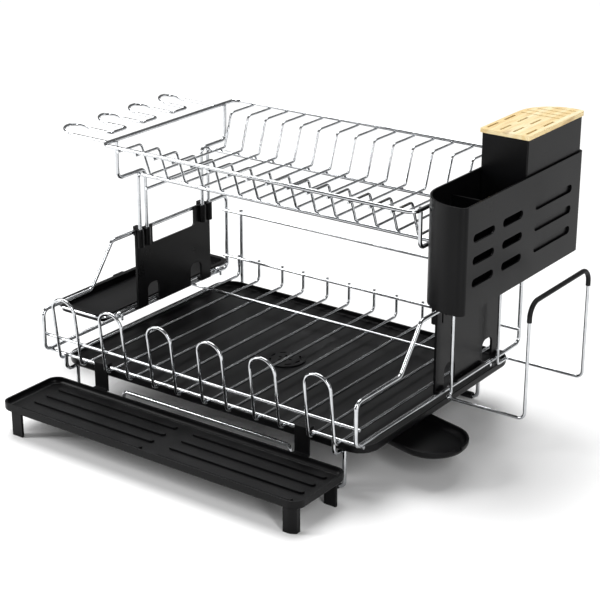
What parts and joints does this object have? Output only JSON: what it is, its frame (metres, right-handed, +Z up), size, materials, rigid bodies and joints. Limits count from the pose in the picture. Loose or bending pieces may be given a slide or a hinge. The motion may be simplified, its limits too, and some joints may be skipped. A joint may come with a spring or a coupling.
{
  "type": "dish drying rack",
  "caption": "Two-tier wire dish drying rack with plate rack, cup hooks, utensil caddy with knife block, board holder, cup tray, drain tray with swivel spout and front drain board.",
  "frame": {"origin": "the middle of the footprint, on the counter", "axes": "+X to the right seen from the front, towards the caddy; +Y to the rear; +Z up"},
  "size_m": [0.6266, 0.4442, 0.3486],
  "materials": {
    "chrome_wire": "bright chrome-plated steel wire",
    "black_plastic": "satin black moulded plastic",
    "black_rubber": "soft black rubber",
    "bamboo": "fine-sanded bamboo"
  },
  "bodies": {
    "basket": {"left_side_frame": "chrome_wire", "right_side_frame": "chrome_wire", "main_rear_rail": "chrome_wire", "upper_rear_rail": "chrome_wire", "front_mid_rail": "chrome_wire", "front_bottom_rail": "chrome_wire", "rear_floor_rail": "chrome_wire", "arch_wire_1": "chrome_wire", "arch_wire_2": "chrome_wire", "arch_wire_3": "chrome_wire", "arch_wire_4": "chrome_wire", "arch_wire_5": "chrome_wire", "arch_wire_6": "chrome_wire", "left_tray_hanger": "chrome_wire", "right_tray_hanger": "chrome_wire", "front_leg_frame": "chrome_wire", "rear_leg_frame": "chrome_wire", "foot_sleeves": "black_rubber", "left_end_panel": "black_plastic", "right_end_panel": "black_plastic"},
    "upper_rack": {"upper_rim": "chrome_wire", "front_post_rail": "chrome_wire", "rear_post_rail": "chrome_wire", "left_front_end_wire": "chrome_wire", "left_rear_end_wire": "chrome_wire", "right_front_end_wire": "chrome_wire", "right_rear_end_wire": "chrome_wire", "left_low_cross_wire": "chrome_wire", "right_low_cross_wire": "chrome_wire", "plate_divider_01": "chrome_wire", "plate_divider_02": "chrome_wire", "plate_divider_03": "chrome_wire", "plate_divider_04": "chrome_wire", "plate_divider_05": "chrome_wire", "plate_divider_06": "chrome_wire", "plate_divider_07": "chrome_wire", "plate_divider_08": "chrome_wire", "plate_divider_09": "chrome_wire", "plate_divider_10": "chrome_wire", "plate_divider_11": "chrome_wire", "plate_divider_12": "chrome_wire", "plate_divider_13": "chrome_wire", "plate_divider_14": "chrome_wire", "plate_divider_15": "chrome_wire", "cup_hook_wire": "chrome_wire"},
    "caddy": {"utensil_caddy": "black_plastic"},
    "knife_block": {"knife_block": "black_plastic"},
    "bamboo_lid": {"bamboo_lid": "bamboo"},
    "board_holder": {"board_holder": "chrome_wire", "holder_grip": "black_rubber"},
    "cup_tray_frame": {"cup_tray_frame": "chrome_wire", "cup_frame_hooks": "chrome_wire"},
    "cup_tray": {"cup_tray": "black_plastic"},
    "drain_tray": {"drain_tray": "black_plastic", "drain_strainer": "black_plastic", "spout_seal_ring": "black_rubber", "spout_clip": "black_plastic"},
    "drain_spout": {"drain_spout": "black_plastic"},
    "drain_board": {"drain_board": "black_plastic", "drain_board_hooks": "black_plastic"}
  },
  "joints": [
    {"name": "upper_rack_lift", "type": "slide", "parent": "basket", "child": "upper_rack", "axis": [0, 0, 1], "range_m": [0, 0.15]},
    {"name": "caddy_lift", "type": "slide", "parent": "upper_rack", "child": "caddy", "axis": [0, 0, 1], "range_m": [0, 0.08]},
    {"name": "knife_block_lift", "type": "slide", "parent": "caddy", "child": "knife_block", "axis": [0, 0, 1], "range_m": [0, 0.12]},
    {"name": "lid_lift", "type": "slide", "parent": "knife_block", "child": "bamboo_lid", "axis": [0, 0, 1], "range_m": [0, 0.06]},
    {"name": "board_holder_lift", "type": "slide", "parent": "basket", "child": "board_holder", "axis": [0, 0, 1], "range_m": [0, 0.015]},
    {"name": "cup_frame_lift", "type": "slide", "parent": "basket", "child": "cup_tray_frame", "axis": [0, 0, 1], "range_m": [0, 0.06]},
    {"name": "cup_tray_lift", "type": "slide", "parent": "cup_tray_frame", "child": "cup_tray", "axis": [0, 0, 1], "range_m": [0, 0.12]},
    {"name": "drain_tray_slide", "type": "slide", "parent": "basket", "child": "drain_tray", "axis": [1, 0, 0], "range_m": [0, 0.15]},
    {"name": "spout_swivel", "type": "hinge", "parent": "drain_tray", "child": "drain_spout", "pos_m": [-0.00385, 0.03285, 0.036], "axis": [0, 0, 1], "range_deg": [-12, 35]},
    {"name": "drain_board_lift", "type": "slide", "parent": "basket", "child": "drain_board", "axis": [0, 0, 1], "range_m": [0, 0.012]}
  ]
}
